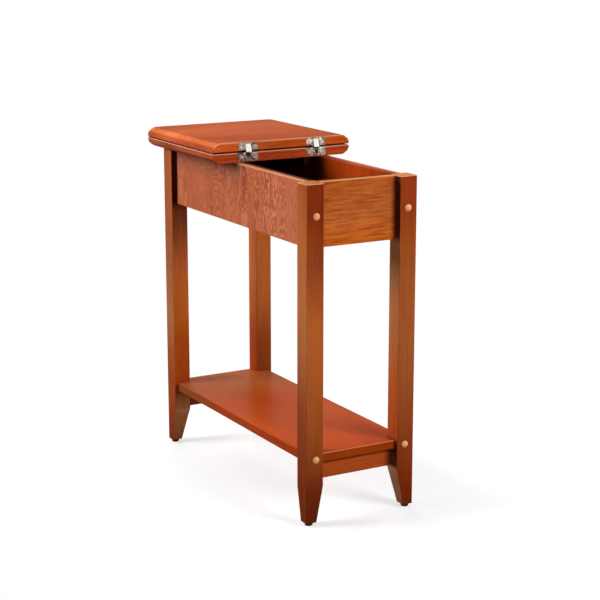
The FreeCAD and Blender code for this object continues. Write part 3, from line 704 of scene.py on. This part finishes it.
def leaf_hull(node_name, bevel_up):
    """Closed hull, a hair larger than a leaf on its flats, that is softer on its bevel and far corners."""
    half_width = reach(node_name, "x", 1)[0]
    hinge, free = reach(node_name, "y", -1)
    low, high = reach(node_name, "z", -1)
    builder = bmesh.new()
    rings = []
    for inset, height in leaf_profile(high - low):
        grown = inset - leaf_slack
        rise = height + math.copysign(leaf_slack, height - leaf_slack)
        level = high - rise if bevel_up else low + rise
        radius = max(leaf_corner_round - inset, leaf_least_round)
        outline = leaf_plan(half_width - grown, hinge - leaf_hinge_slack, free - grown, radius)
        rings.append([builder.verts.new((x, y, level)) for x, y in outline])
    for first, second in zip(rings, rings[1:]):
        join_rings(builder, first, second)
    for end in (rings[0], rings[-1]):
        builder.faces.new(end)
    bmesh.ops.recalc_face_normals(builder, faces=builder.faces)
    return bpy.data.objects.new(node_name + "_hull", finished_mesh(builder, node_name + "_hull"))


def soften_leaf(node_name, body, bevel_up, material):
    """Leaf cut from its solid by the softer hull, in the solid's place."""
    whole = finished_mesh(welded(node_name), node_name + "_whole")
    leaf = bpy.data.objects.new(node_name + "_soft", whole)
    hull = leaf_hull(node_name, bevel_up)
    for thing in (leaf, hull):
        bpy.context.scene.collection.objects.link(thing)
    cut = leaf.modifiers.new("soften", "BOOLEAN")
    cut.operation = "INTERSECT"
    cut.solver = "EXACT"
    cut.object = hull
    softened = bpy.data.meshes.new_from_object(leaf.evaluated_get(bpy.context.evaluated_depsgraph_get()))
    leaf.modifiers.clear()
    leaf.data = softened
    for spare in (whole, hull.data):
        bpy.data.meshes.remove(spare)
    softened.name = leaf.name
    softened.attributes.remove(softened.attributes["custom_normal"])
    softened.materials.clear()
    softened.materials.append(material)
    softened.shade_smooth()
    softened.set_sharp_from_angle(angle=leaf_smooth_angle)
    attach(leaf, body)
    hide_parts(node_name)


leaf_rows = {"fixed_leaf": ("table_frame", False), "flip_leaf": ("flip_top", True)}
for leaf_name, (leaf_body, bevel_is_up) in leaf_rows.items():
    soften_leaf(leaf_name, leaf_body, bevel_is_up, bpy.data.materials["cherry_" + leaf_name])

# Inside and hidden pieces of wood, and the buttons. The pieces inside the box are near-black, a painted shade
# for the box's dark inside, and the buttons' domes have painted shade below and a painted highlight above
inside_look = {"grain": "y", "tones": inside_shade_tones, "edge": inside_shade_tones[-1], "roughness": 0.60}
dowel_look = {"tones": plain_tones, "edge": plain_tones[-1], "roughness": 0.62}
dowel_grains = {"side_panel_dowels": "y", "apron_dowels": "x", "stretcher_dowels": "x"}
button_look = {"grain": "x", "tones": button_tones, "edge": button_tones[-1], "roughness": 0.20,
               "specular": 0.5, "rounded": False,
               "sides": [(-axes["z"], button_shade_tint, *button_shade_shares),
                         (axes["z"], button_highlight_tint, *button_highlight_shares)]}
for index, piece in enumerate(("compartment_floor", "left_cleat", "right_cleat")):
    dress(piece, wood("shaded_inside_" + piece, inside_seed + index, **inside_look))
for index, (piece, dowel_grain) in enumerate(dowel_grains.items()):
    dress(piece, wood("plain_" + piece, dowel_seed + index, dowel_grain, **dowel_look))
for index, piece in enumerate(("front_leg_buttons", "back_leg_buttons")):
    dress(piece, wood("button_wood_" + piece, button_seed + index, **button_look))

# Metal and plastic pieces
plate_nickel, link_nickel, zinc = [metal(name, **metal_look) for name, metal_look in metals.items()]
glide_plastic = moulded_plastic("glide_plastic")
for side_name in ("left", "right"):
    for piece in ("hinge_fixed_plate", "hinge_flip_plate", "hinge_fixed_pin", "hinge_flip_pin"):
        dress(side_name + "_" + piece, plate_nickel)
    dress(side_name + "_hinge_link", link_nickel)
for piece in ("side_panel_screws", "shelf_screws"):
    dress(piece, zinc)
for corner in leg_stains:
    dress(corner + "_glide", glide_plastic)


def cross_outline(radius):
    """Corners of a cross recess, in order round it."""
    arm = cross_arm_share * radius
    half = cross_width_share * radius
    corners_round = []
    for turn in range(4):
        cosine = math.cos(turn * math.pi / 2)
        sine = math.sin(turn * math.pi / 2)
        for x, y in ((arm, -half), (arm, half), (half, half)):
            corners_round.append((x * cosine - y * sine, x * sine + y * cosine))
    return corners_round


def ring(builder, radii, depth):
    """Ring of points round the screw's axis at a depth under its head."""
    points = []
    for step, radius in enumerate(radii):
        angle = 2 * math.pi * step / screw_sides
        points.append(builder.verts.new((radius * math.cos(angle), radius * math.sin(angle), depth)))
    return points


def round_ring(builder, radius, depth):
    """Ring that is a circle."""
    return ring(builder, [radius] * screw_sides, depth)


def thread_radii(turns, core, crest_radius, thin):
    """Radii round the thread, a number of turns down from its start and thinner towards the point."""
    radii = []
    for step in range(screw_sides):
        phase = (turns - step / screw_sides) % 1.0
        crest = max(0.0, 1.0 - abs(phase - 0.5) * 2 / crest_share)
        radii.append(thin * (core + (crest_radius - core) * crest))
    return radii


def loop_edges(builder, points):
    """Edges of a closed loop of points."""
    pairs = zip(points, points[1:] + points[:1])
    return [builder.edges.get(pair) or builder.edges.new(pair) for pair in pairs]


def close_to_point(builder, points, place):
    """Faces from a closed loop of points to one point."""
    tip = builder.verts.new(place)
    for first, second in zip(points, points[1:] + points[:1]):
        builder.faces.new((first, second, tip))


def screw_head(builder, radius):
    """Flat head with a cross recess, and the ring at its rim."""
    rim = round_ring(builder, radius * head_flat_share, 0.0)
    mouth = [builder.verts.new((x, y, 0.0)) for x, y in cross_outline(radius)]
    edges = loop_edges(builder, rim) + loop_edges(builder, mouth)
    bmesh.ops.triangle_fill(builder, use_beauty=True, edges=edges)
    close_to_point(builder, mouth, (0.0, 0.0, cross_depth_share * radius))
    return rim


def screw_mesh(name, head_radius, length):
    """Countersunk wood screw along +Z from its head's face at the origin: cross recess, thread and point."""
    builder = bmesh.new()
    shank_radius = head_radius * shank_share
    head_height = head_height_share * head_radius
    pitch = thread_pitch_share * 2 * shank_radius
    core = core_share * shank_radius
    thread_start = head_height + smooth_shank_share * (length - head_height)
    point_start = length * (1 - point_share)
    rings = [screw_head(builder, head_radius),
             round_ring(builder, head_radius, head_radius - head_flat_share * head_radius),
             round_ring(builder, shank_radius, head_height),
             round_ring(builder, shank_radius, thread_start)]
    count = int((length - thread_start) / pitch * screw_rings_per_turn)
    for step in range(1, count):
        depth = thread_start + (length - thread_start) * step / count
        thin = min(1.0, (length - depth) / (length - point_start))
        radii = thread_radii((depth - thread_start) / pitch, core, shank_radius, thin)
        rings.append(ring(builder, radii, depth))
    for first, second in zip(rings, rings[1:]):
        join_rings(builder, first, second)
    close_to_point(builder, rings[-1], (0.0, 0.0, length))
    bmesh.ops.recalc_face_normals(builder, faces=builder.faces)
    mesh = finished_mesh(builder, name)
    mesh.materials.append(zinc)
    return mesh


def solids_of(node_name):
    """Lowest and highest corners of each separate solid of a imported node, in the mesh's order."""
    builder = welded(node_name)
    unseen = set(builder.verts)
    boxes = []
    for start in builder.verts:
        if start not in unseen:
            continue
        unseen.remove(start)
        group = [start]
        for vert in group:
            for edge in vert.link_edges:
                other = edge.other_vert(vert)
                if other in unseen:
                    unseen.remove(other)
                    group.append(other)
        columns = list(zip(*(vert.co for vert in group)))
        boxes.append((Vector(map(min, columns)), Vector(map(max, columns))))
    builder.free()
    return boxes


def screws_over(node_name, body, axis, outward):
    """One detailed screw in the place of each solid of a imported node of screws, driven in along an axis."""
    for index, (low, high) in enumerate(solids_of(node_name)):
        size = high - low
        middle = (low + high) / 2
        length = size.dot(axes[axis])
        along = axes[axis] * (math.copysign(1.0, middle.x) if outward else 1.0)
        head_place = middle - along * (length / 2)
        head_width = min(size[number] for number, letter in enumerate("xyz") if letter != axis)
        name = node_name + "_detailed_" + str(index + 1)
        mesh = screw_mesh(name, head_width / 2, length)
        turn = Matrix.Rotation(math.radians(screw_turn_degrees * index), 4, "Z")
        aim = along.to_track_quat("Z", "Y").to_matrix().to_4x4()
        mesh.transform(Matrix.Translation(head_place) @ aim @ turn)
        screw = bpy.data.objects.new(name, mesh)
        bpy.context.scene.collection.objects.link(screw)
        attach(screw, body)
        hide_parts(node_name)


screws_over("hinge_fixed_screws", "table_frame", "y", outward=False)
screws_over("hinge_flip_screws", "flip_top", "y", outward=False)
screws_over("cleat_panel_screws", "table_frame", "x", outward=True)
screws_over("cleat_leaf_screws", "table_frame", "z", outward=False)


def seen_directly(tree):
    """1 for what the camera sees straight, in a reflection or through glass."""
    rays = add(tree, "ShaderNodeLightPath").outputs
    mirrored = math_node(tree, "MAXIMUM", rays["Is Glossy Ray"], rays["Is Transmission Ray"])
    return math_node(tree, "MAXIMUM", rays["Is Camera Ray"], mirrored)


def matt(tree, tone):
    """Matt grey shader."""
    return add(tree, "ShaderNodeBsdfDiffuse", {"Color": (tone, tone, tone, 1.0)}).outputs[0]


def glow(tree, kind, strength):
    """White shader that gives light."""
    return add(tree, kind, {"Color": white, "Strength": strength}).outputs[0]


def floor_material():
    """Finish that keeps the shadow under a nearly white view of the floor."""
    material, tree = new_material("pale_floor")
    seen_glow = glow(tree, "ShaderNodeEmission", floor_seen_glow)
    near = add(tree, "ShaderNodeAddShader", {0: matt(tree, floor_seen_tone), 1: seen_glow}).outputs[0]
    place = add(tree, "ShaderNodeTexCoord").outputs["Object"]
    away = add(tree, "ShaderNodeVectorMath", {0: place}, operation="LENGTH").outputs["Value"]
    fade = add(tree, "ShaderNodeMapRange", {"Value": away, "From Min": floor_shadow_reach,
                                            "From Max": floor_white_reach}, interpolation_type="SMOOTHSTEP")
    far = glow(tree, "ShaderNodeEmission", 1.0)
    seen = add(tree, "ShaderNodeMixShader", {0: fade.outputs["Result"], 1: near, 2: far}).outputs[0]
    bounce = matt(tree, floor_bounce_tone)
    shader = add(tree, "ShaderNodeMixShader", {0: seen_directly(tree), 1: bounce, 2: seen})
    add(tree, "ShaderNodeOutputMaterial", {"Surface": shader.outputs[0]})
    return material


def make_floor():
    """Plain pale floor."""
    builder = bmesh.new()
    bmesh.ops.create_grid(builder, x_segments=floor_segments, y_segments=floor_segments, size=floor_reach)
    mesh = finished_mesh(builder, "floor")
    mesh.materials.append(floor_material())
    floor = bpy.data.objects.new("floor", mesh)
    bpy.context.scene.collection.objects.link(floor)


def make_world():
    """White background with a soft, weaker light."""
    world = bpy.data.worlds.new("studio")
    world.use_nodes = True
    tree = world.node_tree
    tree.nodes.clear()
    light = glow(tree, "ShaderNodeBackground", world_level)
    backdrop = glow(tree, "ShaderNodeBackground", 1.0)
    shader = add(tree, "ShaderNodeMixShader", {0: seen_directly(tree), 1: light, 2: backdrop})
    add(tree, "ShaderNodeOutputWorld", {"Surface": shader.outputs[0]})
    bpy.context.scene.world = world


def make_lamp(name, towards, distance, size, level, glint=True):
    """Soft square lamp whose light on a facing surface is level times full white, with or without a glint."""
    data = bpy.data.lights.new(name, "AREA")
    data.size = size
    data.energy = level * (math.pi * distance) ** 2
    lamp = bpy.data.objects.new(name, data)
    lamp.visible_glossy = glint
    bpy.context.scene.collection.objects.link(lamp)
    direction = Vector(towards).normalized()
    lamp.location = lamp_aim + direction * distance
    lamp.rotation_euler = direction.to_track_quat("Z", "Y").to_euler()


def make_camera():
    """Camera at the photograph's viewing angle."""
    data = bpy.data.cameras.new("camera")
    data.lens = camera_lens
    data.sensor_width = camera_sensor
    camera = bpy.data.objects.new("camera", data)
    camera.location = camera_place
    camera.rotation_euler = (camera_pitch, 0.0, camera_turn)
    bpy.context.scene.collection.objects.link(camera)
    bpy.context.scene.camera = camera


make_floor()
make_world()
for lamp_name, lamp_look in lamps.items():
    make_lamp(lamp_name, **lamp_look)
make_camera()
bpy.context.scene.view_settings.view_transform = "Standard"
